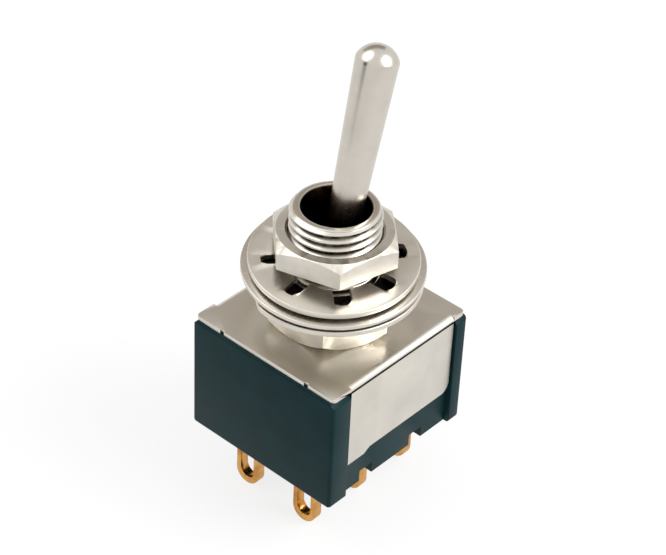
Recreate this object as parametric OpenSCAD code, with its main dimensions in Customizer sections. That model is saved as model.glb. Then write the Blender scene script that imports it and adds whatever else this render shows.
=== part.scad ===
// Miniature two-pole toggle switch for a panel, with its mounting hardware on the bushing.
// Origin: centre of the metal cover's top face. +Z runs up the bushing, X is the lever's throw.

/* [Case] */
// Case length along each row of terminals
case_l = 13.2; // [12.8:0.1:15]
// Case width across the two rows of terminals
case_w = 12.5; // [12.4:0.1:14.5]
// Depth of the case below the cover's top face
case_depth = 9.4; // [9.2:0.1:11]
// Radius of the case's upright corners
case_corner_r = 0.35; // [0.1:0.05:0.6]
// Thickness of the two end walls
end_wall_t = 0.9; // [0.6:0.05:1.1]
// Thickness of the two side walls behind the cover's legs
side_wall_t = 0.85; // [0.5:0.05:1]
// Thickness of the floor that holds the lugs
floor_t = 1; // [0.8:0.1:1.4]
// Height of the skirt below the floor
skirt_h = 0.9; // [0.6:0.1:1.2]
// Width of the notches in the skirt between the lugs
notch_w = 1.25; // [0.8:0.05:1.6]
// Bevel on the case's top edges at the corner posts
post_bevel = 0.55; // [0.2:0.05:0.8]

/* [Metal cover] */
// Thickness of the cover's sheet
sheet_t = 0.5; // [0.3:0.05:0.6]
// Width of each leg
leg_w = 10.3; // [9.5:0.1:10.4]
// Distance of the legs' middle from the cover's middle
leg_shift = 0.3; // [0:0.05:0.4]
// Depth of the legs below the cover's top face
leg_depth = 6.35; // [5:0.05:6.6]
// How much deeper the corner tongue of each leg is
tongue_depth = 0.33; // [0.1:0.01:0.5]
// Width of the corner tongue
tongue_w = 1.6; // [1:0.1:2.5]
// Outer radius of the bend between plate and leg
bend_r = 0.45; // [0.2:0.05:0.5]
// Radius of each leg's rounded lower corner
leg_corner_r = 0.8; // [0.3:0.1:1.2]
// Gap between a leg's sides and the case
leg_side_gap = 0.2; // [0.1:0.05:0.25]

/* [Bushing] */
// Outside diameter of the bushing's thread
thread_d = 6.25; // [6.2:0.05:6.35]
// Height of the bushing above the cover
bushing_h = 8.9; // [8.7:0.1:10]
// Height of the bevel round the bushing's top
thread_bevel = 0.3; // [0.1:0.05:0.4]
// Radius of the bushing's mouth
mouth_r = 2.4; // [2.4:0.01:2.5]
// Radius of the throat above the ball
throat_r = 1.9; // [1.8:0.05:2]
// Diameter of the flange that is clamped under the cover
flange_d = 7.8; // [7:0.1:8.2]
// Thickness of that flange
flange_t = 0.6; // [0.4:0.05:0.7]

/* [Lever] */
// Height of the lever's ball above the cover's top face
pivot_z = 3.8; // [3.6:0.05:4]
// Tilt of the lever from upright at each end of its throw
lever_tilt = 12.5; // [11:0.1:12.6]
// Length of the lever from ball centre to tip
lever_l = 15.35; // [12:0.05:18]
// Diameter of the ball
ball_d = 4.4; // [4.2:0.05:4.5]
// Diameter of the lever at its tip
tip_d = 2.9; // [2.6:0.05:3]
// Diameter of the lever where it would meet the ball's centre
neck_d = 2.02; // [1.8:0.02:2.1]
// Radius of the lever's rounded end
tip_round = 0.35; // [0.1:0.05:0.5]
// Radius of the dimple in the lever's end
dimple_r = 0.8; // [0.4:0.05:1]
// Depth of the dimple
dimple_depth = 0.25; // [0.1:0.05:0.4]
// Diameter of the cross pin the lever turns on
pin_d = 0.9; // [0.7:0.05:1]
// Length of the cross pin
pin_l = 5.1; // [4.9:0.05:5.2]
// Diameter of the arm below the ball
arm_d = 1.7; // [1.4:0.05:1.8]

/* [Mounting hardware] */
// Width of both hex nuts across their flats
nut_af = 7.94; // [7.6:0.02:8.2]
// Thickness of the upper nut
upper_nut_t = 1.6; // [1.2:0.05:2]
// Height of the upper nut's underside above the cover
upper_nut_z = 5.5; // [5:0.05:6]
// Thickness of the lower nut
lower_nut_t = 2.8; // [2.4:0.05:3]
// Turn of the upper nut about the bushing
upper_nut_turn = -13.5; // [-30:0.5:30]
// Turn of the lower nut about the bushing
lower_nut_turn = -25; // [-30:0.5:30]
// Outside diameter of the locating washer
locating_d = 12.1; // [10:0.1:13]
// Thickness of the locating washer
locating_t = 0.4; // [0.2:0.05:0.5]
// Distance of the locating washer's flat from its centre
locating_flat = 5.55; // [4.8:0.05:5.9]
// Outside diameter of the flat washer
flat_d = 12.4; // [11:0.1:13]
// Thickness of the flat washer
flat_t = 0.3; // [0.2:0.05:0.4]
// Outside diameter of the toothed washer
tooth_washer_d = 11.3; // [11:0.1:12.5]
// Thickness of the toothed washer
tooth_washer_t = 0.4; // [0.3:0.05:0.5]
// Number of teeth
tooth_count = 8; // [6:1:10]
// Radius at the teeth's roots
tooth_root_r = 4.7; // [4.4:0.05:5]
// Radius at the teeth's tips
tooth_tip_r = 3.35; // [3.25:0.05:3.6]
// Width of the slots between the teeth
tooth_slot_w = 1.1; // [0.7:0.05:1.3]
// Twist of each tooth about its own middle
tooth_twist = 12; // [6:0.5:16]

/* [Contacts] */
// Distance of each row of terminals from the middle
row_y = 2.7; // [2.65:0.05:2.9]
// Distance of the end terminals from the case's ends
lug_inset = 1.9; // [1.8:0.05:2]
// Width of a lug
lug_w = 2; // [1.6:0.05:2.1]
// Thickness of a lug
lug_t = 0.8; // [0.6:0.05:0.9]
// Length of the lugs below the case
lug_l = 4.5; // [3:0.1:6]
// Width of the slot in a lug
eye_w = 1.2; // [0.6:0.05:1.3]
// Metal below the slot in a lug
eye_rim = 0.55; // [0.4:0.05:0.8]
// Height of the common lugs' pivot line above the floor
fulcrum_h = 0.95; // [0.85:0.05:1.1]
// Tilt of the rocking contacts from level
rocker_tilt = 7; // [5:0.5:8]
// Width of the rocking contacts
rocker_w = 2.3; // [2:0.05:2.4]
// Length of the rocking contacts beyond the end terminals' middle
rocker_end = 0.5; // [0.4:0.05:0.6]
// Thickness of the rocking contacts over their pivot
rocker_web = 0.4; // [0.3:0.02:0.5]
// Thickness of the rocking contacts' wings
rocker_wing_t = 0.45; // [0.3:0.02:0.5]

/* [Actuator] */
// Height of the plastic carriage
carriage_h = 2.9; // [2.8:0.05:3]
// Diameter of the carriage round each plunger
tower_d = 2.9; // [2.6:0.05:3]
// Diameter of a plunger's head
plunger_d = 1.8; // [1.5:0.05:1.9]
// Radius of a plunger's rounded tip
plunger_tip_r = 0.6; // [0.45:0.02:0.7]
// Wire diameter of the plunger springs
spring_wire_d = 0.24; // [0.15:0.01:0.3]
// Number of turns in a plunger spring
spring_turns = 4; // [3:1:5]

/* [Clearances] */
// Clearance of the ball in the bushing
ball_gap = 0.05; // [0.02:0.01:0.08]
// Clearance of plates, washers and nuts round the thread
thread_gap = 0.04; // [0.02:0.01:0.08]
// Clearance of the lugs in the floor and of the arm in the carriage
fit_gap = 0.03; // [0.01:0.01:0.05]
// Clearance of the plungers in their bores and of the rocking contacts on their pivots
run_gap = 0.04; // [0.02:0.01:0.06]
// Clearance of the rocking contacts' sides in the case
side_gap = 0.1; // [0.05:0.01:0.15]

/* [Hidden] */
$fn = 64;

// Colours
dark_plastic = [0.12, 0.17, 0.19];
pale_plastic = [0.85, 0.83, 0.78];
nickel = [0.78, 0.76, 0.72];
gold = [0.85, 0.62, 0.28];
silver = [0.86, 0.86, 0.84];
steel = [0.6, 0.61, 0.63];

// A small overlap that lets cuts pass clean through a face
eps = 0.05;
// A length that reaches past the whole switch
past_all = 2 * case_l;

// Lengths that no other piece shares
leg_play = 0.02;
notch_offset = 0.2;
nick_l = 0.3;
nick_w = 0.35;
nick_y = 3.8;
nut_face_inset = 0.05;
nut_sink_h = 0.3;
nut_sink_w = 0.35;
roof_t = 0.4;
carriage_play = 0.5;
head_l = 0.6;
head_lift = 0.1;
head_bevel = 0.25;
saddle_foot_w = 2;
saddle_top_w = 5.2;
saddle_lip = 0.1;
rocker_back_h = 0.47;
button_r = 0.6;
shoulder_w = 0.18;
shoulder_h = 0.4;
eye_top_gap = 0.5;
case_headroom = 0.1;
tooth_over = 0.4;
tooth_turn = 5;
flat_turn = 145;

// Distance between neighbouring terminals of a row
lug_pitch = case_l / 2 - lug_inset;

// Heights, from the cover's top face
case_top_z = -sheet_t;
case_bottom_z = -case_depth;
floor_under_z = case_bottom_z + skirt_h;
floor_z = floor_under_z + floor_t;
lug_bottom_z = case_bottom_z - lug_l;
fulcrum_z = floor_z + fulcrum_h;
flange_under_z = -sheet_t - flange_t;

// Inside of the case
recess_depth = sheet_t + leg_play;
recess_y = case_w / 2 - recess_depth;
chamber_x = case_l / 2 - end_wall_t;
chamber_y = recess_y - side_wall_t;
channel_w = rocker_w + 2 * side_gap;
recess_w = leg_w + 2 * leg_side_gap;
notch_x = lug_pitch / 2 + notch_offset;

// Bushing and ball
thread_r = thread_d / 2;
ball_r = ball_d / 2;
socket_r = ball_r + ball_gap;
seat_z = pivot_z + sqrt(pow(socket_r, 2) - pow(throat_r, 2));

// Stack of washers, each on the one below
locating_z = lower_nut_t;
flat_z = locating_z + locating_t;
tooth_root_w = 2 * tooth_root_r * sin(180 / tooth_count) - tooth_slot_w;
tooth_tip_w = 2 * tooth_tip_r * sin(180 / tooth_count) - tooth_slot_w;
tooth_drop = (tooth_root_w / 2) * sin(tooth_twist) - (tooth_washer_t / 2) * (1 - cos(tooth_twist));
toothed_z = flat_z + flat_t + tooth_drop;
washer_bore_r = thread_r + 3 * thread_gap;

// Rocking contact, in its own frame with the pivot line at the origin
saddle_r = lug_t / 2 + run_gap;
valley_h = saddle_r + rocker_web;
wing_h = valley_h + rocker_back_h;
rocker_half_l = lug_pitch + rocker_end;
button_h = wing_h - rocker_wing_t + button_r / 2;

// Plunger tip: its distance from the ball's centre, and its place against the tilted contact
tip_reach = pivot_z - fulcrum_z - valley_h - run_gap - plunger_tip_r;
tip_x = -tip_reach * sin(lever_tilt);
tip_z = pivot_z - tip_reach * cos(lever_tilt) - fulcrum_z;
valley_x = tip_x * cos(rocker_tilt) + tip_z * sin(rocker_tilt);
valley_rise = tip_z * cos(rocker_tilt) - tip_x * sin(rocker_tilt) - (pivot_z - tip_reach - fulcrum_z);
valley_path_r = (pow(valley_x, 2) + pow(valley_rise, 2)) / (2 * valley_rise);
valley_r = valley_path_r + plunger_tip_r + run_gap;

// Top of the throw lugs, under the rocking contact's lowered button
throw_z = fulcrum_z - lug_pitch * sin(rocker_tilt) + button_h * cos(rocker_tilt) - button_r - run_gap / 2;

// Carriage and plungers, as distances below the ball's centre
carriage_top = pivot_z - flange_under_z + carriage_play;
carriage_bottom = carriage_top + carriage_h;
bore_roof = carriage_top + roof_t;
head_bottom = carriage_bottom - head_lift;
head_top = head_bottom - head_l;
arm_l = carriage_top + carriage_h / 2;
coil_r = plunger_d / 2 - spring_wire_d;

module rounded_plan(l, w, r) {
    square([l - 2 * r, w], center = true);
    square([l, w - 2 * r], center = true);
    for (sx = [-1, 1], sy = [-1, 1])
        translate([sx * (l / 2 - r), sy * (w / 2 - r)])
            circle(r);
}

// A box from its corner, its size and its centre in X and Y, standing on z0 and reaching z1
module block(l, w, z0, z1) {
    translate([-l / 2, -w / 2, z0])
        cube([l, w, z1 - z0]);
}

module ring(d, bore_r, t) {
    difference() {
        cylinder(d = d, h = t);
        translate([0, 0, -eps])
            cylinder(r = bore_r, h = t + 2 * eps);
    }
}

module case_recesses() {
    for (side = [-1, 1])
        translate([leg_shift, side * (recess_y + recess_depth), 0])
            block(recess_w, 2 * recess_depth, case_bottom_z - eps, case_top_z + eps);
}

// The bevelled top edges that show beside the legs
module post_bevels() {
    for (side = [-1, 1])
        translate([0, side * case_w / 2, case_top_z])
            rotate([45, 0, 0])
                cube([past_all, post_bevel * sqrt(2), post_bevel * sqrt(2)], center = true);
}

module skirt_notches() {
    for (sx = [-1, 1])
        translate([sx * notch_x, 0, 0])
            block(notch_w, past_all, case_bottom_z - eps, floor_under_z);
}

module case_hollows() {
    block(2 * chamber_x, 2 * chamber_y, case_bottom_z - eps, floor_under_z);
    block(2 * chamber_x, 2 * chamber_y, fulcrum_z + wing_h + case_headroom, case_top_z + eps);
    for (side = [-1, 1])
        translate([0, side * row_y, 0])
            block(2 * chamber_x, channel_w, floor_z, case_top_z - eps);
}

module lug_slots() {
    for (sx = [-1, 0, 1], side = [-1, 1])
        translate([sx * lug_pitch, side * row_y, 0])
            block(lug_t + 2 * fit_gap, lug_w + 2 * fit_gap, floor_under_z - eps, floor_z + eps);
}

module case() {
    color(dark_plastic)
        difference() {
            translate([0, 0, case_bottom_z])
                linear_extrude(case_top_z - case_bottom_z)
                    rounded_plan(case_l, case_w, case_corner_r);
            case_recesses();
            post_bevels();
            skirt_notches();
            case_hollows();
            lug_slots();
        }
}

// Outline of a leg, seen from its outer side, with X along the case and Y up
module leg_outline() {
    half = leg_w / 2;
    difference() {
        union() {
            translate([-half, -leg_depth])
                square([leg_w, leg_depth]);
            polygon([
                [-half, -leg_depth + eps],
                [-half, -leg_depth - tongue_depth],
                [-half + tongue_w, -leg_depth - tongue_depth],
                [-half + tongue_w + 2 * tongue_depth, -leg_depth + eps]
            ]);
        }
        translate([half - leg_corner_r, -leg_depth])
            difference() {
                translate([0, -eps])
                    square([leg_corner_r + eps, leg_corner_r + eps]);
                translate([0, leg_corner_r])
                    circle(leg_corner_r);
            }
    }
}

module leg() {
    translate([leg_shift, -case_w / 2 + sheet_t, 0])
        rotate([90, 0, 0])
            linear_extrude(sheet_t)
                leg_outline();
}

// What is cut away outside the bend, so that the sheet turns the corner in an arc
module bend_cut() {
    translate([leg_shift - leg_w / 2 - eps, -case_w / 2, 0])
        difference() {
            translate([0, -eps, -bend_r])
                cube([leg_w + 2 * eps, bend_r + eps, bend_r + eps]);
            translate([-eps, bend_r, -bend_r])
                rotate([0, 90, 0])
                    cylinder(r = bend_r, h = leg_w + 4 * eps);
        }
}

// Two small nicks in the plate's edge, where the blank was held in its strip
module edge_nicks() {
    for (side = [-1, 1])
        translate([-case_l / 2, side * nick_y, -sheet_t / 2])
            cube([nick_l, nick_w, sheet_t + 2 * eps], center = true);
}

module frame() {
    color(nickel)
        difference() {
            union() {
                translate([0, 0, -sheet_t])
                    linear_extrude(sheet_t)
                        rounded_plan(case_l, case_w, case_corner_r);
                leg();
                mirror([0, 1, 0])
                    leg();
            }
            bend_cut();
            mirror([0, 1, 0])
                bend_cut();
            edge_nicks();
            translate([0, 0, -sheet_t - eps])
                cylinder(r = thread_r + thread_gap, h = sheet_t + 2 * eps);
        }
}

module bushing() {
    color(nickel)
        difference() {
            union() {
                translate([0, 0, flange_under_z])
                    cylinder(d = flange_d, h = flange_t);
                translate([0, 0, flange_under_z])
                    cylinder(r = thread_r, h = bushing_h - thread_bevel - flange_under_z);
                translate([0, 0, bushing_h - thread_bevel])
                    cylinder(r1 = thread_r, r2 = thread_r - thread_bevel, h = thread_bevel);
            }
            translate([0, 0, flange_under_z - eps])
                cylinder(r = socket_r, h = pivot_z - flange_under_z + eps);
            translate([0, 0, pivot_z])
                sphere(r = socket_r);
            translate([0, 0, seat_z - eps])
                cylinder(r1 = throat_r, r2 = mouth_r, h = bushing_h - seat_z + 2 * eps);
            pin_slots();
        }
}

// Slots in the bushing's bore, open at the bottom, that the cross pin goes up into
module pin_slots() {
    slot_w = pin_d + 2 * run_gap;
    slot_l = pin_l + 2 * run_gap;
    block(slot_w, slot_l, flange_under_z - eps, pivot_z);
    translate([0, slot_l / 2, pivot_z])
        rotate([90, 0, 0])
            cylinder(d = slot_w, h = slot_l);
}

// Places its children in the lever's own frame: origin at the ball's centre, +Z towards the tip
module on_lever() {
    translate([0, 0, pivot_z])
        rotate([0, lever_tilt, 0])
            children();
}

module lever() {
    tip_r = tip_d / 2;
    dimple_sphere_r = (pow(dimple_r, 2) + pow(dimple_depth, 2)) / (2 * dimple_depth);
    color(nickel)
        on_lever()
            difference() {
                union() {
                    sphere(d = ball_d);
                    cylinder(d1 = neck_d, d2 = tip_d, h = lever_l - tip_round);
                    translate([0, 0, lever_l - tip_round])
                        rotate_extrude()
                            translate([tip_r - tip_round, 0])
                                circle(tip_round);
                    translate([0, 0, lever_l - tip_round - eps])
                        cylinder(r = tip_r - tip_round, h = tip_round + eps);
                    translate([0, 0, -arm_l])
                        cylinder(d = arm_d, h = arm_l);
                }
                translate([0, 0, lever_l - dimple_depth + dimple_sphere_r])
                    sphere(r = dimple_sphere_r);
                translate([0, ball_d, 0])
                    rotate([90, 0, 0])
                        cylinder(d = pin_d, h = 2 * ball_d);
            }
}

module pivot_pin() {
    color(steel)
        translate([0, pin_l / 2, pivot_z])
            rotate([90, 0, 0])
                cylinder(d = pin_d, h = pin_l);
}

// A hex nut with its corners bevelled at the top and, where asked, at the bottom
module hex_nut(t, turn, both_sides) {
    corner_r = nut_af / 2 / cos(30);
    face_r = nut_af / 2 - nut_face_inset;
    bevel_h = (corner_r - face_r) * tan(30);
    bore_r = thread_r + thread_gap;
    difference() {
        rotate([0, 0, turn])
            intersection() {
                cylinder(r = corner_r, h = t, $fn = 6);
                rotate_extrude()
                    polygon([
                        [0, 0], [both_sides ? face_r : corner_r, 0], [corner_r, both_sides ? bevel_h : eps],
                        [corner_r, t - bevel_h], [face_r, t], [0, t]
                    ]);
            }
        translate([0, 0, -eps])
            cylinder(r = bore_r, h = t + 2 * eps);
        translate([0, 0, t - nut_sink_h])
            cylinder(r1 = bore_r, r2 = bore_r + nut_sink_w, h = nut_sink_h + eps);
    }
}

module lower_nut() {
    color(nickel)
        hex_nut(lower_nut_t, lower_nut_turn, true);
}

module upper_nut() {
    color(nickel)
        translate([0, 0, upper_nut_z])
            hex_nut(upper_nut_t, upper_nut_turn, false);
}

// Round washer with one flat that stops it from turning against the panel
module locating_washer() {
    color(nickel)
        translate([0, 0, locating_z])
            difference() {
                ring(locating_d, washer_bore_r, locating_t);
                rotate([0, 0, flat_turn])
                    translate([locating_flat, -locating_d / 2, -eps])
                        cube([locating_d, locating_d, locating_t + 2 * eps]);
            }
}

module flat_washer() {
    color(nickel)
        translate([0, 0, flat_z])
            ring(flat_d, washer_bore_r, flat_t);
}

// One tooth, pointing along -X towards the bore, twisted about its own middle line
module tooth() {
    translate([0, 0, tooth_washer_t / 2])
        rotate([-tooth_twist, 0, 0])
            translate([0, 0, -tooth_washer_t / 2])
                linear_extrude(tooth_washer_t)
                    polygon([
                        [tooth_tip_r - tooth_over, -tooth_tip_w / 2],
                        [tooth_root_r, -tooth_root_w / 2],
                        [tooth_root_r, tooth_root_w / 2],
                        [tooth_tip_r - tooth_over, tooth_tip_w / 2]
                    ]);
}

module toothed_washer() {
    color(nickel)
        translate([0, 0, toothed_z])
            difference() {
                union() {
                    ring(tooth_washer_d, tooth_root_r - eps, tooth_washer_t);
                    for (i = [0 : tooth_count - 1])
                        rotate([0, 0, (i + 0.5) * 360 / tooth_count + tooth_turn])
                            tooth();
                }
                translate([0, 0, -tooth_washer_d / 2])
                    cylinder(r = tooth_tip_r, h = tooth_washer_d);
            }
}

module carriage() {
    color(pale_plastic)
        on_lever()
            translate([0, 0, -carriage_bottom])
                difference() {
                    union() {
                        block(tower_d, 2 * row_y, 0, carriage_h);
                        for (side = [-1, 1])
                            translate([0, side * row_y, 0])
                                cylinder(d = tower_d, h = carriage_h);
                    }
                    translate([0, 0, carriage_bottom - arm_l - fit_gap])
                        cylinder(d = arm_d + 2 * fit_gap, h = carriage_h);
                    for (side = [-1, 1])
                        translate([0, side * row_y, -eps])
                            cylinder(d = plunger_d + 2 * run_gap, h = carriage_bottom - bore_roof + eps);
                }
}

module plunger(side) {
    color(steel)
        on_lever()
            translate([0, side * row_y, -tip_reach]) {
                sphere(r = plunger_tip_r);
                cylinder(r = plunger_tip_r, h = tip_reach - head_bottom);
                translate([0, 0, tip_reach - head_bottom - head_bevel])
                    cylinder(r1 = plunger_tip_r, r2 = plunger_d / 2, h = head_bevel);
                translate([0, 0, tip_reach - head_bottom])
                    cylinder(d = plunger_d, h = head_bottom - head_top);
            }
}

// Points of a coil spring of the given height, ring by ring along its wire
function coil_points(height, steps, sides) = [
    for (i = [0 : steps])
        let (turn = 360 * spring_turns * i / steps, z = spring_wire_d / 2 + (height - spring_wire_d) * i / steps)
            for (j = [0 : sides - 1])
                let (a = 360 * j / sides, r = coil_r + spring_wire_d / 2 * cos(a))
                    [r * cos(turn), r * sin(turn), z + spring_wire_d / 2 * sin(a)]
];

function coil_faces(steps, sides) = concat(
    [[for (j = [0 : sides - 1]) j]],
    [for (i = [0 : steps - 1], j = [0 : sides - 1])
        let (k = (j + 1) % sides)
            [i * sides + j, (i + 1) * sides + j, (i + 1) * sides + k, i * sides + k]],
    [[for (j = [sides - 1 : -1 : 0]) steps * sides + j]]
);

module plunger_spring(side) {
    steps = 14 * spring_turns;
    color(steel)
        on_lever()
            translate([0, side * row_y, -head_top])
                polyhedron(
                    points = coil_points(head_top - bore_roof, steps, 8),
                    faces = coil_faces(steps, 8),
                    convexity = 10
                );
}

// Side view of a rocking contact, with its pivot line at the origin
module rocker_profile() {
    wing_under = wing_h - rocker_wing_t;
    difference() {
        union() {
            polygon([
                [-rocker_half_l, wing_h], [-rocker_half_l, wing_under],
                [-saddle_top_w / 2, wing_under], [-saddle_foot_w / 2, saddle_lip],
                [saddle_foot_w / 2, saddle_lip], [saddle_top_w / 2, wing_under],
                [rocker_half_l, wing_under], [rocker_half_l, wing_h]
            ]);
            for (sx = [-1, 1])
                translate([sx * lug_pitch, button_h])
                    circle(button_r);
        }
        translate([0, valley_h + valley_r])
            circle(valley_r, $fn = 128);
        circle(saddle_r);
        translate([-past_all / 2, wing_h])
            square(past_all);
    }
}

module rocker(side) {
    color(silver)
        translate([0, side * row_y, fulcrum_z])
            rotate([0, -rocker_tilt, 0])
                rotate([90, 0, 0])
                    linear_extrude(rocker_w, center = true)
                        rocker_profile();
}

// Solder lug: a blade with a slotted, rounded end below the case and shoulders on the floor
module lug(top_z, round_top, sx, side) {
    tail_r = lug_w / 2;
    blade_top_z = round_top ? top_z - lug_t / 2 : top_z;
    color(gold)
        translate([sx * lug_pitch - lug_t / 2, side * row_y, 0])
            difference() {
                union() {
                    translate([0, -tail_r, lug_bottom_z + tail_r])
                        cube([lug_t, lug_w, blade_top_z - lug_bottom_z - tail_r]);
                    translate([0, 0, lug_bottom_z + tail_r])
                        rotate([0, 90, 0])
                            cylinder(r = tail_r, h = lug_t);
                    translate([0, -tail_r - shoulder_w, floor_z])
                        cube([lug_t, lug_w + 2 * shoulder_w, shoulder_h]);
                    if (round_top)
                        translate([lug_t / 2, tail_r, blade_top_z])
                            rotate([90, 0, 0])
                                cylinder(d = lug_t, h = lug_w);
                }
                lug_eye();
            }
}

module lug_eye() {
    low_z = lug_bottom_z + eye_rim + eye_w / 2;
    high_z = case_bottom_z - eye_w / 2 - eye_top_gap;
    for (z = [low_z, high_z])
        translate([-eps, 0, z])
            rotate([0, 90, 0])
                cylinder(d = eye_w, h = lug_t + 2 * eps);
    translate([-eps, -eye_w / 2, low_z])
        cube([lug_t + 2 * eps, eye_w, high_z - low_z]);
}

case();
frame();
bushing();
lever();
pivot_pin();
lower_nut();
locating_washer();
flat_washer();
toothed_washer();
upper_nut();
carriage();
plunger(-1);  // plunger_front
plunger(1);  // plunger_back
plunger_spring(-1);  // spring_front
plunger_spring(1);  // spring_back
rocker(-1);  // rocker_front
rocker(1);  // rocker_back
lug(fulcrum_z + lug_t / 2, true, 0, -1);  // lug_front_common
lug(throw_z, false, -1, -1);  // lug_front_left
lug(throw_z, false, 1, -1);  // lug_front_right
lug(fulcrum_z + lug_t / 2, true, 0, 1);  // lug_back_common
lug(throw_z, false, -1, 1);  // lug_back_left
lug(throw_z, false, 1, 1);  // lug_back_right
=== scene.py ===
"""Looks of a miniature two-pole toggle switch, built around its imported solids."""

import math

import bpy
from mathutils import Matrix, Vector


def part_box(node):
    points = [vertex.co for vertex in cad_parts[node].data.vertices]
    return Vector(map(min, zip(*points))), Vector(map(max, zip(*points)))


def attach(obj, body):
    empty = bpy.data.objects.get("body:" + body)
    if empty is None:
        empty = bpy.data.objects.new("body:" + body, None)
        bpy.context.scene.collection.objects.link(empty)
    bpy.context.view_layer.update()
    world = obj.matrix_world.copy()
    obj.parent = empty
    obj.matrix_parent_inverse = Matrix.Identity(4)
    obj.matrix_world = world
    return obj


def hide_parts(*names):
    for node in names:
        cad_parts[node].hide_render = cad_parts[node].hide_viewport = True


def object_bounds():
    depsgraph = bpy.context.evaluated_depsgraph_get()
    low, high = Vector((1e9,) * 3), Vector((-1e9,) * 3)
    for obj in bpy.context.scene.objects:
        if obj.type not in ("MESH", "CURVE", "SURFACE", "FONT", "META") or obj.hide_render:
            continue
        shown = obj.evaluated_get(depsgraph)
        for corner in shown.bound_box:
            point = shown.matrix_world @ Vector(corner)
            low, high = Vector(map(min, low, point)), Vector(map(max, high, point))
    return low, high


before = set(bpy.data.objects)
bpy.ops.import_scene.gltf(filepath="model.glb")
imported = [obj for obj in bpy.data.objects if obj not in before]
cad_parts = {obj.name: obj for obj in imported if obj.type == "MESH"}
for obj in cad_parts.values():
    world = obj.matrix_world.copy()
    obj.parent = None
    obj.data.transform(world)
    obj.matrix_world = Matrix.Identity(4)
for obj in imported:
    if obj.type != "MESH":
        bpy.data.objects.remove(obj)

bl_info = {
    "name": "Panel toggle switch",
    "version": (1, 0, 0),
    "blender": (4, 5, 0),
    "location": "3D View > Sidebar > Switch",
    "description": "Threads, eased edges and finishes for a miniature panel toggle switch",
    "category": "Object",
}

MM = 0.001
CAD_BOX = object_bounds()
MERGE_DISTANCE = 0.0004

# Where the painted shade round the nut is centred, a little off the bushing's axis, in millimetres.
SHADE_CENTRE = (0.30, 0.26, 0)


def top_of(node):
    """Height of a node's highest point, in millimetres."""
    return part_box(node)[1][2] / MM


def foot_of(node):
    """Height of a node's lowest point, in millimetres."""
    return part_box(node)[0][2] / MM


def reach_of(node):
    """Half of a round node's width across Y, in millimetres."""
    return (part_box(node)[1][1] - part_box(node)[0][1]) / 2 / MM


# ---------------------------------------------------------------- modelling


def pick(obj):
    """Makes one object the only selected and active one."""
    if bpy.context.object and bpy.context.object.mode != "OBJECT":
        bpy.ops.object.mode_set(mode="OBJECT")
    bpy.ops.object.select_all(action="DESELECT")
    obj.select_set(True)
    bpy.context.view_layer.objects.active = obj


def clear_selection():
    bpy.ops.object.select_all(action="DESELECT")


def apply_transform():
    """Bakes the active piece's place, turn and scale into its mesh."""
    bpy.ops.object.transform_apply(location=True, rotation=True, scale=True)


def apply_modifier(obj, kind, **settings):
    """Adds a modifier with its settings and applies it at once."""
    pick(obj)
    modifier = obj.modifiers.new(kind.title(), kind)
    for name, value in settings.items():
        setattr(modifier, name, value)
    bpy.ops.object.modifier_apply(modifier=modifier.name)
    return obj


def drawn_line(name, points):
    """A line through (radius, height) points, drawn vertex by vertex in the XZ plane."""
    clear_selection()
    bpy.ops.mesh.primitive_plane_add(size=1)
    obj = bpy.context.object
    obj.name = name
    bpy.ops.object.mode_set(mode="EDIT")
    bpy.ops.mesh.select_mode(type="VERT")
    bpy.ops.mesh.select_all(action="SELECT")
    bpy.ops.mesh.merge(type="CENTER")
    bpy.ops.transform.translate(value=(points[0][0], 0, points[0][1]))
    for (r0, z0), (r1, z1) in zip(points, points[1:]):
        step = (r1 - r0, 0, z1 - z0)
        bpy.ops.mesh.extrude_vertices_move(TRANSFORM_OT_translate={"value": step})
    return obj


def turned(name, outline, steps=96):
    """A piece turned on a lathe from a closed outline of (radius, height) points."""
    obj = drawn_line(name, [*outline, outline[0]])
    bpy.ops.mesh.select_all(action="SELECT")
    bpy.ops.mesh.spin(steps=steps, angle=math.tau, center=(0, 0, 0), axis=(0, 0, 1))
    tidy_mesh()
    return obj


def tidy_mesh():
    """Merges what lies together, turns the faces outwards and leaves edit mode."""
    bpy.ops.mesh.select_all(action="SELECT")
    bpy.ops.mesh.remove_doubles(threshold=MERGE_DISTANCE)
    bpy.ops.mesh.normals_make_consistent(inside=False)
    bpy.ops.object.mode_set(mode="OBJECT")


def rounded_corner(centre, radius, start, end, count=5):
    """Points on an arc, with its angles in degrees from the radius axis."""
    turns = [math.radians(start + (end - start) * i / count) for i in range(count + 1)]
    return [(centre[0] + radius * math.cos(a), centre[1] + radius * math.sin(a)) for a in turns]


def combine(obj, tool, operation):
    """Cuts, joins or crosses a piece with a tool, which is used up."""
    apply_modifier(obj, "BOOLEAN", object=tool, operation=operation, solver="EXACT")
    bpy.data.objects.remove(tool)
    return obj


def ease_edges(obj, width, segments, angle):
    """Rounds the edges where faces meet at more than an angle, in degrees."""
    return apply_modifier(
        obj, "BEVEL", width=width, segments=segments, limit_method="ANGLE",
        angle_limit=math.radians(angle), use_clamp_overlap=True,
    )


def copied_solid(node, name):
    """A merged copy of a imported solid, in millimetres, ready for its edges to be eased."""
    merge_distance, flat_angle = 0.002, 0.6
    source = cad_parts[node]
    obj = bpy.data.objects.new(name, source.data.copy())
    bpy.context.collection.objects.link(obj)
    obj.matrix_world = Matrix.Scale(1 / MM, 4) @ source.matrix_world
    pick(obj)
    apply_transform()
    bpy.ops.object.mode_set(mode="EDIT")
    bpy.ops.mesh.select_all(action="SELECT")
    bpy.ops.mesh.remove_doubles(threshold=merge_distance)
    bpy.ops.mesh.dissolve_limited(angle_limit=math.radians(flat_angle))
    bpy.ops.object.mode_set(mode="OBJECT")
    return obj


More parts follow.
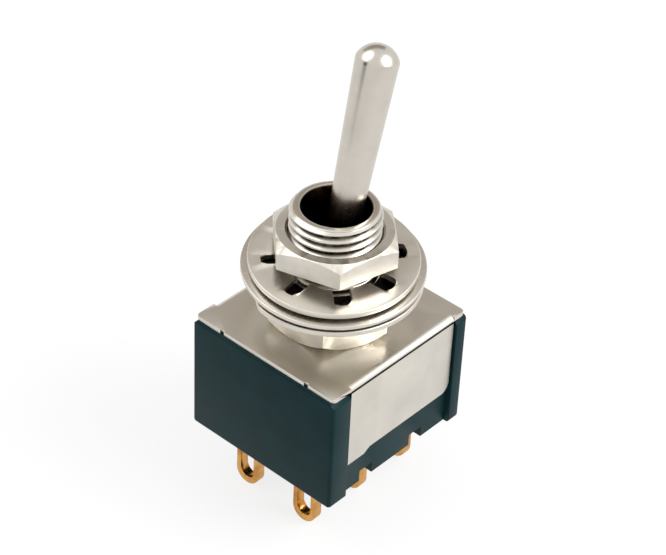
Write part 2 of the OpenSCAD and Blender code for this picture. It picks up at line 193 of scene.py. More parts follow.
def cuboid(name, low, high):
    """A box between two corners."""
    clear_selection()
    bpy.ops.mesh.primitive_cube_add(size=1, location=[(a + b) / 2 for a, b in zip(low, high)])
    obj = bpy.context.object
    obj.name = name
    obj.scale = [b - a for a, b in zip(low, high)]
    apply_transform()
    return obj


def choose_points(obj, chosen):
    """Opens a piece in edit mode with only the vertices selected whose place passes a test."""
    pick(obj)
    bpy.ops.object.mode_set(mode="EDIT")
    bpy.ops.mesh.select_mode(type="VERT")
    bpy.ops.mesh.select_all(action="DESELECT")
    bpy.ops.object.mode_set(mode="OBJECT")
    for vertex in obj.data.vertices:
        vertex.select = chosen(vertex.co)
    bpy.ops.object.mode_set(mode="EDIT")


def nudge(obj, chosen, offset):
    """Moves the vertices whose place passes a test."""
    choose_points(obj, chosen)
    bpy.ops.transform.translate(value=offset)
    bpy.ops.object.mode_set(mode="OBJECT")


def turn_about_axis(obj, degrees):
    """Turns a finished mesh about the bushing's axis."""
    pick(obj)
    obj.matrix_world = Matrix.Rotation(math.radians(degrees), 4, "Z") @ obj.matrix_world
    apply_transform()


def hand_over(obj, material, body, replaced, smooth_angle=32):
    """Brings a finished piece to metres, gives it its finish and sets it on its body."""
    pick(obj)
    obj.matrix_world = Matrix.Scale(MM, 4) @ obj.matrix_world
    apply_transform()
    bpy.ops.object.shade_smooth_by_angle(angle=math.radians(smooth_angle))
    obj.data.materials.clear()
    obj.data.materials.append(material)
    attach(obj, body)
    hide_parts(replaced)


def refinish(node, material):
    """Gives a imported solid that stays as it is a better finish."""
    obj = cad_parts[node]
    obj.data.materials.clear()
    obj.data.materials.append(material)


# ---------------------------------------------------------------- materials


class Signal:
    """A shader socket that takes part in Python expressions."""

    def __init__(self, tree, socket):
        self.tree = tree
        self.socket = socket

    def _math(self, operation, other):
        return add_node(self.tree, "ShaderNodeMath", {"operation": operation}, {0: self, 1: other})

    def __add__(self, other):
        return self._math("ADD", other)

    def __mul__(self, other):
        return self._math("MULTIPLY", other)

    def __sub__(self, other):
        return self._math("SUBTRACT", other)

    def clipped(self):
        return add_node(self.tree, "ShaderNodeClamp", {}, {"Value": self})


def add_node(tree, kind, settings, inputs, output=0):
    """Any node: its settings are set first, then the values or links of its sockets."""
    node = tree.nodes.new(kind)
    for name, value in settings.items():
        setattr(node, name, value)
    for name, value in inputs.items():
        if isinstance(value, Signal):
            tree.links.new(value.socket, node.inputs[name])
        else:
            node.inputs[name].default_value = value
    return Signal(tree, node.outputs[output])


def new_material(name, **constants):
    """A material with its surface shader's constant values already set."""
    material = bpy.data.materials.new(name)
    material.use_nodes = True
    shader = material.node_tree.nodes["Principled BSDF"]
    for label, value in constants.items():
        shader.inputs[label.replace("_", " ").title().replace("Ior", "IOR")].default_value = value
    return material, material.node_tree, shader


def feed(tree, shader, label, signal):
    """Links a signal to one of the surface shader's sockets."""
    tree.links.new(signal.socket, shader.inputs[label])


def millimetre_space(tree, stretch=(1, 1, 1)):
    """Object coordinates counted in millimetres, stretched for a grain."""
    coordinates = add_node(tree, "ShaderNodeTexCoord", {}, {}, "Object")
    scale = Vector(stretch) / MM
    return add_node(tree, "ShaderNodeMapping", {}, {"Vector": coordinates, "Scale": scale})


def noise(tree, where, scale, detail, roughness=0.55):
    """Cloudy noise between 0 and 1, its scale counted in each millimetre."""
    return add_node(
        tree, "ShaderNodeTexNoise", {},
        {"Vector": where, "Scale": scale, "Detail": detail, "Roughness": roughness}, "Fac",
    )


def mix_colours(tree, factor, first, second):
    """Blends two colours, each a triple or a signal."""
    as_colour = [c if isinstance(c, Signal) else (*c, 1) for c in (first, second)]
    return add_node(
        tree, "ShaderNodeMix", {"data_type": "RGBA"},
        {"Factor": factor, 6: as_colour[0], 7: as_colour[1]}, 2,
    )


def bump(tree, height, strength, distance):
    """A normal from a height, its distance in millimetres."""
    return add_node(
        tree, "ShaderNodeBump", {},
        {"Height": height, "Strength": strength, "Distance": distance * MM}, "Normal",
    )


def remap(tree, signal, low, high, to_low=0.0, to_high=1.0):
    """A signal moved from one range to another and held inside it."""
    return add_node(
        tree, "ShaderNodeMapRange", {"clamp": True},
        {"Value": signal, "From Min": low, "From Max": high, "To Min": to_low, "To Max": to_high},
    )


def uneven(tree, signal, roughness, smoother, rougher):
    """Roughness that wanders round its middle value with a pattern."""
    return remap(tree, signal, 0.3, 0.7, roughness - smoother, roughness + rougher)


def from_axis(tree, plain):
    """Distance from the bushing's axis, and height, in millimetres."""
    parts = tree.nodes.new("ShaderNodeSeparateXYZ")
    tree.links.new(plain.socket, parts.inputs[0])
    x, y, z = (Signal(tree, parts.outputs[i]) for i in range(3))
    return add_node(tree, "ShaderNodeMath", {"operation": "SQRT"}, {0: x * x + y * y}), z


def plated_sheet(name, colour, roughness, grain, shade_painted=False):
    """Nickel on pressed sheet: faint rolling grain, cloudy patches and painted shade under the
    hardware.
    """
    material, tree, shader = new_material(name, metallic=1.0)
    plain = millimetre_space(tree)
    along = millimetre_space(tree, stretch=(0.12, 2.4, 2.4))
    cloud = noise(tree, plain, 0.35, detail=3)
    speckle = noise(tree, plain, 9.0, detail=2)
    lines = noise(tree, along, 5.0, detail=6)
    dull = [c * 0.9 for c in colour]
    surface = mix_colours(tree, remap(tree, cloud, 0.35, 0.68), colour, dull)
    # Painted shade: near black within 5.2 mm of a centre a little off the axis, fading out by 5.7 mm,
    # where the toothed washer and nut shade the washer.
    if shade_painted:
        dark_r, unshaded_r = 5.2, 5.7
        shifted = add_node(
            tree, "ShaderNodeVectorMath", {"operation": "SUBTRACT"}, {0: plain, 1: SHADE_CENTRE}
        )
        from_shade_centre = from_axis(tree, shifted)[0]
        washer_shade = remap(tree, from_shade_centre + cloud * 0.6, dark_r, unshaded_r, 1, 0)
        surface = mix_colours(tree, washer_shade * 0.97, surface, (0.016, 0.013, 0.010))
    feed(tree, shader, "Base Color", surface)
    feed(tree, shader, "Roughness", uneven(tree, cloud * 0.6 + lines * 0.4, roughness, 0.06, 0.1))
    feed(tree, shader, "Normal", bump(tree, lines * 0.7 + speckle * 0.3, grain, 0.01))
    return material


def plated_turning(name, colour, roughness, bore=None, groove=None, shade_below=None, cloudy=0.88):
    """Nickel on turned brass: fine rings round the axis, painted shade in the bore and in the thread
    grooves.

    The bore is given by its radius and the height where its painted shade starts, the groove by its
    root and crest, and the painted shade low on the piece by the heights it fades between.
    """
    material, tree, shader = new_material(name, metallic=1.0)
    plain = millimetre_space(tree)
    across, height = from_axis(tree, plain)
    ringed = add_node(tree, "ShaderNodeCombineXYZ", {}, {"X": across * 8.0, "Y": height * 8.0})
    rings = noise(tree, ringed, 1.6, detail=5)
    cloud = noise(tree, plain, 0.6, detail=3)
    dull = [c * cloudy for c in colour]
    surface = mix_colours(tree, remap(tree, cloud, 0.38, 0.66), colour, dull)
    # Painted shade: the thread's roots darken to near black brown, by a random amount, between its foot
    # and top.
    if groove:
        root, crest = groove
        thread_foot, thread_top = (-0.2, 0.1), (8.5, 8.62)
        depth = remap(tree, across, root + 0.03, crest - 0.07, 1, 0)
        groove_shade_strength = remap(tree, noise(tree, plain, 2.2, detail=4), 0.3, 0.6, 0.7, 1.0)
        above = remap(tree, height, *thread_foot)
        below = remap(tree, height, *thread_top, 1, 0)
        surface = mix_colours(tree, depth * groove_shade_strength * above * below, surface, (0.030, 0.022, 0.016))
    # Painted shade: below the given heights the piece darkens to dark brown, where it stands in shadow.
    if shade_below:
        low_shade = remap(tree, height + cloud * 0.8 - 0.4, *shade_below, 1, 0)
        surface = mix_colours(tree, low_shade, surface, (0.05, 0.035, 0.022))
    # Painted shade: inside the bore the colour turns near black with brownish patches, fully from 1.2
    # mm above where it starts.
    if bore:
        bore_r, dark_from = bore
        within = remap(tree, across, bore_r, bore_r + 0.1, 1, 0)
        inside = within * remap(tree, height, dark_from, dark_from + 1.2)
        brown = remap(tree, noise(tree, plain, 1.1, detail=3), 0.45, 0.65)
        bore_shade = mix_colours(tree, brown, (0.010, 0.008, 0.007), (0.12, 0.06, 0.02))
        surface = mix_colours(tree, inside, surface, bore_shade)
    feed(tree, shader, "Base Color", surface)
    feed(tree, shader, "Roughness", uneven(tree, cloud * 0.5 + rings * 0.5, roughness, 0.05, 0.09))
    feed(tree, shader, "Normal", bump(tree, rings, 0.08, 0.010))
    return material


def moulded_plastic(name, colour, roughness):
    """Dark thermoset: a fine moulded skin, faint flow patches and paler dust on it."""
    material, tree, shader = new_material(name, metallic=0.0, specular_ior_level=0.10)
    plain = millimetre_space(tree)
    skin = noise(tree, plain, 14.0, detail=5, roughness=0.65)
    flow = noise(tree, plain, 0.45, detail=3)
    dusty = [min(1.0, c * 1.4 + 0.002) for c in colour]
    feed(tree, shader, "Base Color", mix_colours(tree, remap(tree, flow, 0.4, 0.75), colour, dusty))
    feed(tree, shader, "Roughness", uneven(tree, flow * 0.5 + skin * 0.5, roughness, 0.06, 0.1))
    feed(tree, shader, "Normal", bump(tree, skin, 0.25, 0.012))
    return material


def gold_plate(name, colour, roughness):
    """Gold on stamped brass: slightly cloudy, deeper where the plating is thin."""
    material, tree, shader = new_material(name, metallic=1.0)
    plain = millimetre_space(tree)
    cloud = noise(tree, plain, 0.9, detail=4)
    along = millimetre_space(tree, stretch=(3, 3, 0.2))
    drawn = noise(tree, along, 5.0, detail=5)
    deep = (colour[0] * 0.72, colour[1] * 0.56, colour[2] * 0.42)
    feed(tree, shader, "Base Color", mix_colours(tree, remap(tree, cloud, 0.4, 0.7), colour, deep))
    feed(tree, shader, "Roughness", uneven(tree, cloud * 0.5 + drawn * 0.5, roughness, 0.06, 0.1))
    feed(tree, shader, "Normal", bump(tree, drawn, 0.2, 0.012))
    return material


# ---------------------------------------------------------------- sizes


class SwitchSizes(bpy.types.PropertyGroup):
    """Sizes of what is added to the solids. Lengths are in millimetres."""

    thread_pitch: bpy.props.FloatProperty(
        name="Thread pitch",
        description="Rise of the bushing's thread in one turn, mm",
        default=0.635, min=0.2, max=1.5,
    )
    thread_depth: bpy.props.FloatProperty(
        name="Thread depth",
        description="Depth of the thread's groove, mm",
        default=0.34, min=0.1, max=0.6,
    )
    case_edge: bpy.props.FloatProperty(
        name="Case edge",
        description="Rounding of the moulded case's outer edges, mm",
        default=0.26, min=0.02, max=0.4,
    )
    case_proud: bpy.props.FloatProperty(
        name="Case overhang",
        description="How far the case stands out past the cover's plate, mm",
        default=0.15, min=0, max=0.2,
    )
    sheet: bpy.props.FloatProperty(
        name="Sheet",
        description="Thickness of the cover's sheet, mm",
        default=0.3, min=0.2, max=0.5,
    )
    cover_edge: bpy.props.FloatProperty(
        name="Cover edge",
        description="Rounding of the pressed cover's edges, mm",
        default=0.07, min=0.01, max=0.2,
    )
    nut_edge: bpy.props.FloatProperty(
        name="Nut edge",
        description="Rounding of the nuts' edges, mm",
        default=0.12, min=0.01, max=0.3,
    )
    washer_edge: bpy.props.FloatProperty(
        name="Washer edge",
        description="Rounding of the washers' edges, mm",
        default=0.07, min=0.01, max=0.14,
    )
    lug_edge: bpy.props.FloatProperty(
        name="Lug edge",
        description="Rounding of the stamped lugs' edges, mm",
        default=0.12, min=0.01, max=0.3,
    )


class SwitchColours(bpy.types.PropertyGroup):
    """Colours of the switch's finishes."""

    case_colour: bpy.props.FloatVectorProperty(
        name="Case",
        description="Moulded case",
        subtype="COLOR", size=3,
        default=(0.0008, 0.017, 0.020), min=0, max=1,
    )
    nickel_colour: bpy.props.FloatVectorProperty(
        name="Nickel",
        description="Plating on cover, nuts and washers",
        subtype="COLOR", size=3,
        default=(0.70, 0.66, 0.59), min=0, max=1,
    )
    lever_colour: bpy.props.FloatVectorProperty(
        name="Lever",
        description="Bright plating on the lever",
        subtype="COLOR", size=3,
        default=(0.60, 0.56, 0.50), min=0, max=1,
    )
    gold_colour: bpy.props.FloatVectorProperty(
        name="Gold",
        description="Plating on the lugs",
        subtype="COLOR", size=3,
        default=(0.66, 0.36, 0.10), min=0, max=1,
    )
    floor_colour: bpy.props.FloatVectorProperty(
        name="Floor",
        description="Studio floor",
        subtype="COLOR", size=3,
        default=(0.9, 0.9, 0.9), min=0, max=1,
    )


# ---------------------------------------------------------------- pieces


class OBJECT_OT_switch_case(bpy.types.Operator):
    """Moulded case with eased edges and its pressed metal cover"""

    bl_idname = "object.switch_case"
    bl_label = "Case and cover"

    def execute(self, context):
        sizes, colours = context.scene.switch_sizes, context.scene.switch_colours
        plastic = moulded_plastic("moulded_thermoset", colours.case_colour, 0.40)
        hand_over(self.moulding(sizes), plastic, "housing", "case")
        nickel = plated_sheet("nickel_sheet", colours.nickel_colour, 0.30, 0.10)
        hand_over(self.pressing(sizes), nickel, "housing", "frame")
        return {"FINISHED"}

    def moulding(self, sizes):
        """A rounded block with its recesses, notches, chamber and lug slots cut in."""
        low, high = ([c / MM for c in corner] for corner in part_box("case"))
        proud, beyond, overlap = sizes.case_proud, 2.0, 0.1
        foot, top = low[2], -sizes.sheet
        half_width = high[1] + proud
        leg_left, leg_right, leg_gap = -4.85, 5.45, 0.2
        recess_y = high[1] - sizes.sheet - 0.02
        floor_under, floor_top, works_top = foot + 0.9, foot + 1.9, -5.14
        chamber_x, chamber_y, channel_half = 5.7, 4.88, 1.25
        notch_x, notch_half = 2.55, 0.625
        slot_half_t, slot_half_w = 0.43, 1.03
        post_bevel, wedge_half, inner_edge = 0.4, 10, 0.05
        outer_low = (low[0] - proud, low[1] - proud, foot)
        outer_high = (high[0] + proud, half_width, top)
        case = cuboid("moulded_case", outer_low, outer_high)
        ease_edges(case, sizes.case_edge, segments=4, angle=60)
        cuts = [
            ((-chamber_x, -chamber_y, foot - beyond), (chamber_x, chamber_y, floor_under)),
            ((-chamber_x, -chamber_y, works_top), (chamber_x, chamber_y, top + beyond)),
        ]
        for side in (-1, 1):
            near, far = sorted((side * recess_y, side * (recess_y + beyond)))
            recess_low = (leg_left - leg_gap, near, foot - beyond)
            recess_high = (leg_right + leg_gap, far, top + beyond)
            notch_low = (side * notch_x - notch_half, -half_width - 1, foot - beyond)
            notch_high = (side * notch_x + notch_half, half_width + 1, floor_under)
            cuts += [(recess_low, recess_high), (notch_low, notch_high)]
        for row in ("front", "back"):
            for place in ("common", "left", "right"):
                corner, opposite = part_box(f"lug_{row}_{place}")
                x, y = ((corner[i] + opposite[i]) / 2 / MM for i in (0, 1))
                slot_low = (x - slot_half_t, y - slot_half_w, floor_under - overlap)
                slot_high = (x + slot_half_t, y + slot_half_w, floor_top + overlap)
                cuts.append((slot_low, slot_high))
                if place == "common":
                    channel_low = (-chamber_x, y - channel_half, floor_top)
                    channel_high = (chamber_x, y + channel_half, works_top + overlap)
                    cuts.append((channel_low, channel_high))
        for corners in cuts:
            combine(case, cuboid("case_cut", *corners), "DIFFERENCE")
        for side in (-1, 1):
            far_corner = Vector((wedge_half, post_bevel, post_bevel))
            wedge = cuboid("post_bevel", -far_corner, far_corner)
            wedge.scale = (1, math.sqrt(0.5), math.sqrt(0.5))
            wedge.rotation_euler = (math.radians(45), 0, 0)
            wedge.location = (0, side * half_width, top)
            combine(case, wedge, "DIFFERENCE")
        return ease_edges(case, inner_edge, segments=2, angle=40)

    def pressing(self, sizes):
        """The pressed cover, its plate and legs brought to the thickness of the sheet."""
        cover = copied_solid("frame", "pressed_cover")
        solid_sheet, near, below_plate = 0.5, 0.01, -0.25
        inner_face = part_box("frame")[1][1] / MM - solid_sheet
        thinner = solid_sheet - sizes.sheet
        nudge(cover, lambda p: abs(p.z + solid_sheet) < near, (0, 0, thinner))
        for side in (-1, 1):
            nudge(
                cover,
                lambda p: abs(p.y - side * inner_face) < near and p.z < below_plate,
                (0, side * thinner, 0),
            )
        return ease_edges(cover, sizes.cover_edge, segments=3, angle=40)


class OBJECT_OT_switch_bushing(bpy.types.Operator):
    """Turned bushing with a real helical thread and a tapered mouth"""

    bl_idname = "object.switch_bushing"
    bl_label = "Threaded bushing"

    def execute(self, context):
        sizes, colours = context.scene.switch_sizes, context.scene.switch_colours
        top, foot = top_of("bushing"), foot_of("bushing")
        crest, crest_gap, thread_foot = 3.125, 0.012, 0.1
        root = crest - sizes.thread_depth
        flange_r, flange_top, bevel = reach_of("bushing"), -sizes.sheet, 0.1
        socket_r, pivot_z, seat_angle, mouth_r, rim_r = 2.25, 3.8, 32.4, 2.4, 2.86
        core = turned(
            "threaded_bushing",
            [
                (socket_r, foot), *rounded_corner((0, pivot_z), socket_r, 0, seat_angle, 8),
                (mouth_r - 0.04, top - 0.09), (mouth_r, top - 0.03), (mouth_r + 0.07, top),
                (rim_r - 0.08, top), (rim_r, top - 0.04), (root, top - 0.22),
                (root, flange_top), (flange_r - bevel, flange_top), (flange_r, flange_top - bevel),
                (flange_r, foot + bevel), (flange_r - bevel, foot),
            ],
        )
        ridge = self.thread_ridge(sizes.thread_pitch, root, crest - crest_gap, thread_foot, top)
        inner_r, first_turn, last_turn = 2.5, 0.15, top - 0.06
        envelope = turned(
            "thread_envelope",
            [
                (inner_r, first_turn), (crest - 0.3, first_turn), (crest, first_turn + 0.3),
                (crest, top - 0.34), (crest - 0.05, top - 0.2), (rim_r - 0.05, last_turn),
                (inner_r, last_turn),
            ],
        )
        combine(ridge, envelope, "INTERSECT")
        combine(core, ridge, "UNION")
        # This finish has painted shade in the bore and in the thread roots.
        nickel = plated_turning(
            "nickel_turning", colours.nickel_colour, 0.22, bore=(2.36, 4.6), groove=(root, crest)
        )
        hand_over(core, nickel, "housing", "bushing", smooth_angle=40)
        return {"FINISHED"}

    def thread_ridge(self, pitch, root, crest, foot, top):
        """The thread's ridge, a closed profile carried up a helix."""
        half, inner = pitch * 0.44, root - 0.06
        outline = [
            (inner, -half), (crest - 0.06, -0.085), (crest - 0.015, -0.045), (crest, 0),
            (crest - 0.015, 0.045), (crest - 0.06, 0.085), (inner, half),
        ]
        ridge = drawn_line("thread_ridge", [(r, z + foot) for r, z in [*outline, outline[0]]])
        bpy.ops.mesh.select_all(action="SELECT")
        bpy.ops.mesh.remove_doubles(threshold=MERGE_DISTANCE)
        bpy.ops.object.mode_set(mode="OBJECT")
        apply_modifier(
            ridge, "SCREW", axis="Z", angle=math.tau, screw_offset=pitch, steps=64, render_steps=64,
            iterations=math.ceil((top - foot) / pitch) + 1, use_merge_vertices=False,
        )
        pick(ridge)
        bpy.ops.object.mode_set(mode="EDIT")
        bpy.ops.mesh.select_mode(type="EDGE")
        bpy.ops.mesh.select_all(action="DESELECT")
        bpy.ops.mesh.select_non_manifold()
        bpy.ops.mesh.edge_face_add()
        tidy_mesh()
        return ridge


class OBJECT_OT_switch_nuts(bpy.types.Operator):
    """The two hex nuts, with bevelled corners, sunk bores and eased edges"""

    bl_idname = "object.switch_nuts"
    bl_label = "Nuts"

    def execute(self, context):
        sizes, colours = context.scene.switch_sizes, context.scene.switch_colours
        nickel = plated_turning("nickel_nut", colours.nickel_colour, 0.36)
        upper_turn, lower_turn = -13.5, -25
        nuts = (("upper_nut", upper_turn, False), ("lower_nut", lower_turn, True))
        for node, turn, both_sides in nuts:
            nut = self.hex_nut(node, foot_of(node), top_of(node), turn, both_sides)
            ease_edges(nut, sizes.nut_edge, segments=3, angle=20)
            hand_over(nut, nickel, "housing", node)
        return {"FINISHED"}

    def hex_nut(self, node, foot, top, turn, both_sides):
        """A hexagon with its corners bevelled at the top, or at both sides, and its bore cut."""
        half_flats, bore_r, mouth_r, mouth_depth = 3.97, 3.165, 3.315, 0.15
        corner_r = half_flats / math.cos(math.pi / 6)
        past_corner, past_foot, past_face = corner_r + 0.02, 0.1, 1
        clear_selection()
        bpy.ops.mesh.primitive_cylinder_add(
            vertices=6, radius=corner_r, depth=top - foot, location=(0, 0, (foot + top) / 2),
            rotation=(0, 0, math.radians(turn + 30)),
        )
        nut = bpy.context.object
        nut.name = f"{node}_finished"
        pick(nut)
        apply_transform()
        face_r = half_flats - 0.05
        rise = corner_r - face_r
        fall = rise * math.tan(math.pi / 6)
        if both_sides:
            low = [(0, foot), (face_r, foot), (past_corner, foot + rise)]
        else:
            low = [(0, foot - past_foot), (past_corner, foot - past_foot)]
        envelope = turned(
            "nut_envelope", [*low, (past_corner, top - fall), (face_r, top), (0, top)], steps=120
        )
        combine(nut, envelope, "INTERSECT")
        bore = turned(
            "nut_bore",
            [
                (0, foot - past_face), (bore_r, foot - past_face), (bore_r, top - mouth_depth),
                (mouth_r, top + 0.001), (mouth_r, top + past_face), (0, top + past_face),
            ],
        )
        return combine(nut, bore, "DIFFERENCE")


class OBJECT_OT_switch_washers(bpy.types.Operator):
    """Locating, flat and toothed washers with rolled edges"""

    bl_idname = "object.switch_washers"
    bl_label = "Washers"

    def execute(self, context):
        sizes, colours = context.scene.switch_sizes, context.scene.switch_colours
        grain, flat_lift = 0.08, 0.75
        nickel = plated_sheet("nickel_washer", colours.nickel_colour, 0.34, grain)
        # The flat washer's finish has painted shade round the bushing, under the toothed washer and
        # nut.
        shade_painted = plated_sheet("shade_painted_washer", colours.nickel_colour, 0.27, grain, shade_painted=True)
        flat = self.ring("flat_washer", sizes.washer_edge)
        self.lean(flat, flat_lift)
        hand_over(flat, shade_painted, "housing", "flat_washer")
        locating = copied_solid("locating_washer", "locating_washer_finished")
        ease_edges(locating, sizes.washer_edge, segments=3, angle=35)
        toothed = self.toothed(sizes.washer_edge)
        for washer, node in ((locating, "locating_washer"), (toothed, "toothed_washer")):
            hand_over(washer, nickel, "housing", node, smooth_angle=38)
        return {"FINISHED"}

    def toothed(self, edge):
        """A punched ring whose inner teeth are twisted out of its plane, leaning on the thread."""
        outer, tip, thickness = 5.75, 3.35, 0.4
        root, slot_half, slot_corner = 4.88, 0.58, 0.46
        count, first_slot, twist, lift = 8, 5, 7, 1.0
        step = 360 / count
        tooth_reach, middle = root - 0.1, (0, 0, thickness / 2)
        washer = turned(
            "toothed_washer_finished",
            [
                (root, 0), *rounded_corner((outer - edge, edge), edge, -90, 0),
                *rounded_corner((outer - edge, thickness - edge), edge, 0, 90), (root, thickness),
                *rounded_corner((tip + edge, thickness - edge), edge, 90, 180),
                *rounded_corner((tip + edge, edge), edge, 180, 270),
            ],
            steps=128,
        )
        for i in range(count):
            slot = cuboid("tooth_slot", (tip - 1, -slot_half, -1), (root, slot_half, 1))
            ease_edges(slot, slot_corner, segments=4, angle=60)
            turn_about_axis(slot, first_slot + 180 + i * step)
            combine(washer, slot, "DIFFERENCE")
        turn_about_axis(washer, -first_slot - step / 2)

        def in_front_tooth(p):
            within = abs(math.atan2(p.y, p.x)) < math.radians(step / 2)
            return p.x > 0 and math.hypot(p.x, p.y) < tooth_reach and within

        for _ in range(count):
            choose_points(washer, in_front_tooth)
            bpy.ops.transform.rotate(
                value=math.radians(twist), orient_axis="X", orient_type="GLOBAL", center_override=middle
            )
            bpy.ops.object.mode_set(mode="OBJECT")
            turn_about_axis(washer, step)
        turn_about_axis(washer, first_slot + step / 2)
        washer.matrix_world = Matrix.Translation((0, 0, top_of("flat_washer")))
        self.lean(washer, lift)
        return washer

    def lean(self, washer, lift):
        """Lifts a loose washer on the thread and leans it, the way both upper washers lie."""
        pick(washer)
        apply_transform()
        lean, axis_turn = math.radians(4.5), math.radians(-49.4)
        hinge = Vector((0, 0, foot_of("flat_washer")))
        axis = Vector((math.cos(axis_turn), math.sin(axis_turn), 0))
        lifted = Matrix.Translation(hinge + Vector((0, 0, lift)))
        washer.matrix_world = lifted @ Matrix.Rotation(lean, 4, axis) @ Matrix.Translation(-hinge)
        apply_transform()

    def ring(self, node, edge):
        """A plain washer with rolled edges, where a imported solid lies."""
        foot, top, outer, inner = foot_of(node), top_of(node), reach_of(node), 3.245
        outline = [
            *rounded_corner((outer - edge, foot + edge), edge, -90, 0),
            *rounded_corner((outer - edge, top - edge), edge, 0, 90),
            *rounded_corner((inner + edge, top - edge), edge, 90, 180),
            *rounded_corner((inner + edge, foot + edge), edge, 180, 270),
        ]
        return turned(f"{node}_finished", outline, steps=128)


class OBJECT_OT_switch_lever(bpy.types.Operator):
    """Bat lever with its ball, tapered shank and domed end"""

    bl_idname = "object.switch_lever"
    bl_label = "Lever"

    def execute(self, context):
        colours = context.scene.switch_colours
        # The lever's finish has painted shade low on its shank, where it stands down in the bushing.
        bright = plated_turning(
            "bright_lever_plate", colours.lever_colour, 0.21, cloudy=0.94, shade_below=(7.6, 9.6)
        )
        tilt, pivot_z, length = 12.5, 3.8, 16.2
        ball_r, shank_r, neck_r, tip_r, dome_r = 2.2, 1.07, 1.01, 1.45, 1.55
        arm_r, arm_foot, bevel = 0.85, -6.85, 0.1
        bend_r, bend_z = neck_r + (tip_r - neck_r) * 0.3, 4.6
        shank_angle = math.degrees(math.acos(shank_r / ball_r))
        arm_angle = -math.degrees(math.acos(arm_r / ball_r))
        rim_angle = math.degrees(math.acos(tip_r / dome_r))
        dome_z = length - dome_r
        shoulder_z = dome_z + dome_r * math.sin(math.radians(rim_angle))
        outline = [
            (0, arm_foot), (arm_r - bevel, arm_foot), (arm_r, arm_foot + bevel),
            *rounded_corner((0, 0), ball_r, arm_angle, shank_angle, 24), (bend_r, bend_z),
            (tip_r, shoulder_z - 0.1), (tip_r - 0.01, shoulder_z - 0.03),
            *rounded_corner((0, dome_z), dome_r, rim_angle + 2, 90, 16),
        ]
        lever = turned("bat_lever", outline)
        leaning = Matrix.Rotation(math.radians(tilt), 4, "Y")
        lever.matrix_world = Matrix.Translation((0, 0, pivot_z)) @ leaning
        pick(lever)
        apply_transform()
        hand_over(lever, bright, "lever_set", "lever", smooth_angle=30)
        return {"FINISHED"}


class OBJECT_OT_switch_lugs(bpy.types.Operator):
    """Six stamped solder lugs with slotted, rounded ends"""

    bl_idname = "object.switch_lugs"
    bl_label = "Solder lugs"

    def execute(self, context):
        sizes, colours = context.scene.switch_sizes, context.scene.switch_colours
        gold = gold_plate("gold_lug_plate", colours.gold_colour, 0.24)
        for row in ("front", "back"):
            for place in ("common", "left", "right"):
                node = f"lug_{row}_{place}"
                lug = copied_solid(node, f"{node}_finished")
                ease_edges(lug, sizes.lug_edge, segments=3, angle=35)
                hand_over(lug, gold, "housing", node)
        return {"FINISHED"}


class OBJECT_OT_switch_works(bpy.types.Operator):
    """Finishes for the parts inside: carriage, pin, plungers, springs and rocking contacts"""

    bl_idname = "object.switch_works"
    bl_label = "Inside works"

    def execute(self, context):
        acetal = moulded_plastic("natural_acetal", (0.72, 0.69, 0.62), 0.4)
        steel = plated_turning("turned_steel", (0.48, 0.49, 0.50), 0.22)
        silver = plated_sheet("silver_contact", (0.80, 0.79, 0.76), 0.26, 0.1)
        refinish("carriage", acetal)
        for node in ("pivot_pin", "plunger_front", "plunger_back", "spring_front", "spring_back"):
            refinish(node, steel)
        for node in ("rocker_front", "rocker_back"):
            refinish(node, silver)
        return {"FINISHED"}


# ---------------------------------------------------------------- stage


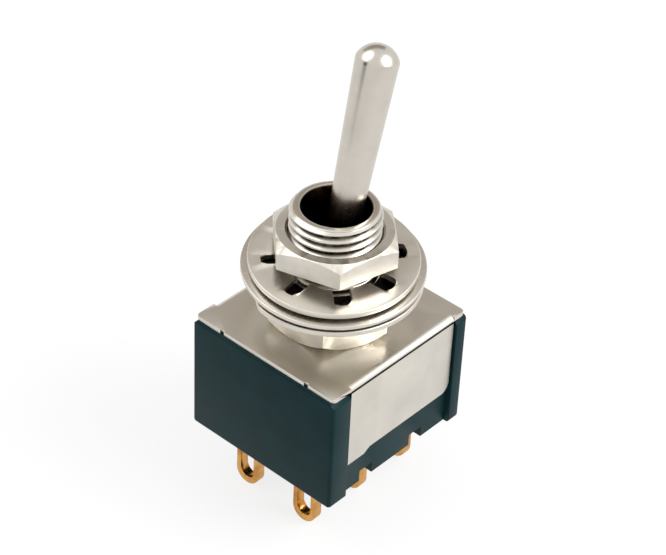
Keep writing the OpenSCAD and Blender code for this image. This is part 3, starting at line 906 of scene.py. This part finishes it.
class OBJECT_OT_switch_stage(bpy.types.Operator):
    """Pale floor, soft studio light and the camera"""

    bl_idname = "object.switch_stage"
    bl_label = "Stage"

    def execute(self, context):
        self.floor(context.scene.switch_colours.floor_colour)
        self.world()
        self.lamp("key_softbox", 25, 42, 0.32, 0.22, 0.9)
        self.lamp("left_softbox", -150, 55, 0.35, 0.3, 0.35)
        self.card("left_dark_card", -112, 12, 0.3, (0.10, 0.26), (0.035, 0.03, 0.026))
        self.card("back_grey_card", 140, 38, 0.36, (0.42, 0.2), (0.42, 0.38, 0.33))
        self.camera()
        return {"FINISHED"}

    def direction(self, azimuth, elevation):
        """The way to a place round the switch, with azimuth 0 at the front, in degrees."""
        a, e = math.radians(azimuth), math.radians(elevation)
        return Vector((math.sin(a) * math.cos(e), -math.cos(a) * math.cos(e), math.sin(e)))

    def background_rays(self, tree):
        """1 for the rays that show the background: straight, mirrored or let through."""
        path = tree.nodes.new("ShaderNodeLightPath")
        kinds = ("Is Camera Ray", "Is Glossy Ray", "Is Transmission Ray")
        camera, glossy, through = (Signal(tree, path.outputs[kind]) for kind in kinds)
        return (camera + glossy + through).clipped()

    def floor(self, colour):
        """A wide floor under the lugs that glows where it shows as background."""
        clear_selection()
        bpy.ops.mesh.primitive_plane_add(size=6, location=(0, 0, CAD_BOX[0][2]))
        floor = bpy.context.object
        floor.name = "studio_floor"
        material, tree, shader = new_material(
            "pale_floor", roughness=0.9, specular_ior_level=0.0, base_color=(*colour, 1)
        )
        white = {"Color": (1, 1, 1, 1), "Strength": 1.0}
        glow = add_node(tree, "ShaderNodeEmission", {}, white, "Emission")
        factor = self.background_rays(tree) * 0.8
        painted = Signal(tree, shader.outputs[0])
        mixed = add_node(tree, "ShaderNodeMixShader", {}, {"Fac": factor, 1: painted, 2: glow})
        tree.links.new(mixed.socket, tree.nodes["Material Output"].inputs["Surface"])
        floor.data.materials.append(material)

    def world(self):
        """White surroundings, dimmer for the light they cast than for what is seen of them."""
        world = bpy.context.scene.world or bpy.data.worlds.new("studio")
        bpy.context.scene.world = world
        world.use_nodes = True
        tree = world.node_tree
        background = tree.nodes["Background"]
        background.inputs["Color"].default_value = (1, 1, 1, 1)
        strength = self.background_rays(tree) * 0.35 + 0.65
        tree.links.new(strength.socket, background.inputs["Strength"])

    def lamp(self, name, azimuth, elevation, distance, size, energy):
        """A round soft lamp that faces the switch."""
        lamp = bpy.data.lights.new(name, "AREA")
        lamp.shape = "DISK"
        lamp.size = size
        lamp.energy = energy
        obj = bpy.data.objects.new(name, lamp)
        bpy.context.collection.objects.link(obj)
        way = self.direction(azimuth, elevation)
        obj.location = way * distance
        obj.rotation_euler = way.to_track_quat("Z", "Y").to_euler()

    def card(self, name, azimuth, elevation, distance, size, colour):
        """A card that only polished surfaces see."""
        clear_selection()
        way = self.direction(azimuth, elevation)
        facing = way.to_track_quat("Z", "Y").to_euler()
        bpy.ops.mesh.primitive_plane_add(size=1, location=way * distance, rotation=facing)
        card = bpy.context.object
        card.name = name
        card.scale = (*size, 1)
        material = new_material(
            f"{name}_paint", roughness=1.0, base_color=(0, 0, 0, 1), specular_ior_level=0.0,
            emission_color=(*colour, 1), emission_strength=1.0,
        )[0]
        card.data.materials.append(material)
        card.visible_camera = False
        card.visible_diffuse = False
        card.visible_shadow = False

    def camera(self):
        """A long lens on the corner between the leg's side and the plain end."""
        azimuth, elevation, roll, distance = -49.393, 37.711, 2.82, 0.14869
        aim = Vector((0, 0, 0.003))
        data = bpy.data.cameras.new("product_camera")
        data.lens = 120.98
        data.sensor_width = 36
        data.clip_start = 0.01
        obj = bpy.data.objects.new("product_camera", data)
        bpy.context.collection.objects.link(obj)
        way = self.direction(azimuth, elevation)
        obj.location = aim + way * distance
        facing = (-way).to_track_quat("-Z", "Y").to_matrix().to_4x4()
        obj.rotation_euler = (facing @ Matrix.Rotation(math.radians(roll), 4, "Z")).to_euler()
        bpy.context.scene.camera = obj
        bpy.context.scene.view_settings.view_transform = "Standard"


class VIEW3D_PT_switch(bpy.types.Panel):
    """Lists the switch's pieces and the values they are made from"""

    bl_label = "Toggle switch"
    bl_idname = "VIEW3D_PT_switch"
    bl_space_type = "VIEW_3D"
    bl_region_type = "UI"
    bl_category = "Switch"

    def draw(self, context):
        layout = self.layout
        for group in (context.scene.switch_sizes, context.scene.switch_colours):
            box = layout.box()
            for name in group.__annotations__:
                box.prop(group, name)
        for operator in PIECES:
            layout.operator(operator.bl_idname)


PIECES = (
    OBJECT_OT_switch_case,
    OBJECT_OT_switch_bushing,
    OBJECT_OT_switch_nuts,
    OBJECT_OT_switch_washers,
    OBJECT_OT_switch_lever,
    OBJECT_OT_switch_lugs,
    OBJECT_OT_switch_works,
    OBJECT_OT_switch_stage,
)
CLASSES = (SwitchSizes, SwitchColours, *PIECES, VIEW3D_PT_switch)


def register():
    for cls in CLASSES:
        bpy.utils.register_class(cls)
    bpy.types.Scene.switch_sizes = bpy.props.PointerProperty(type=SwitchSizes)
    bpy.types.Scene.switch_colours = bpy.props.PointerProperty(type=SwitchColours)


def unregister():
    del bpy.types.Scene.switch_colours
    del bpy.types.Scene.switch_sizes
    for cls in reversed(CLASSES):
        bpy.utils.unregister_class(cls)


def main():
    register()
    bpy.ops.object.switch_case()
    bpy.ops.object.switch_bushing()
    bpy.ops.object.switch_nuts()
    bpy.ops.object.switch_washers()
    bpy.ops.object.switch_lever()
    bpy.ops.object.switch_lugs()
    bpy.ops.object.switch_works()
    bpy.ops.object.switch_stage()


if __name__ == "__main__":
    main()
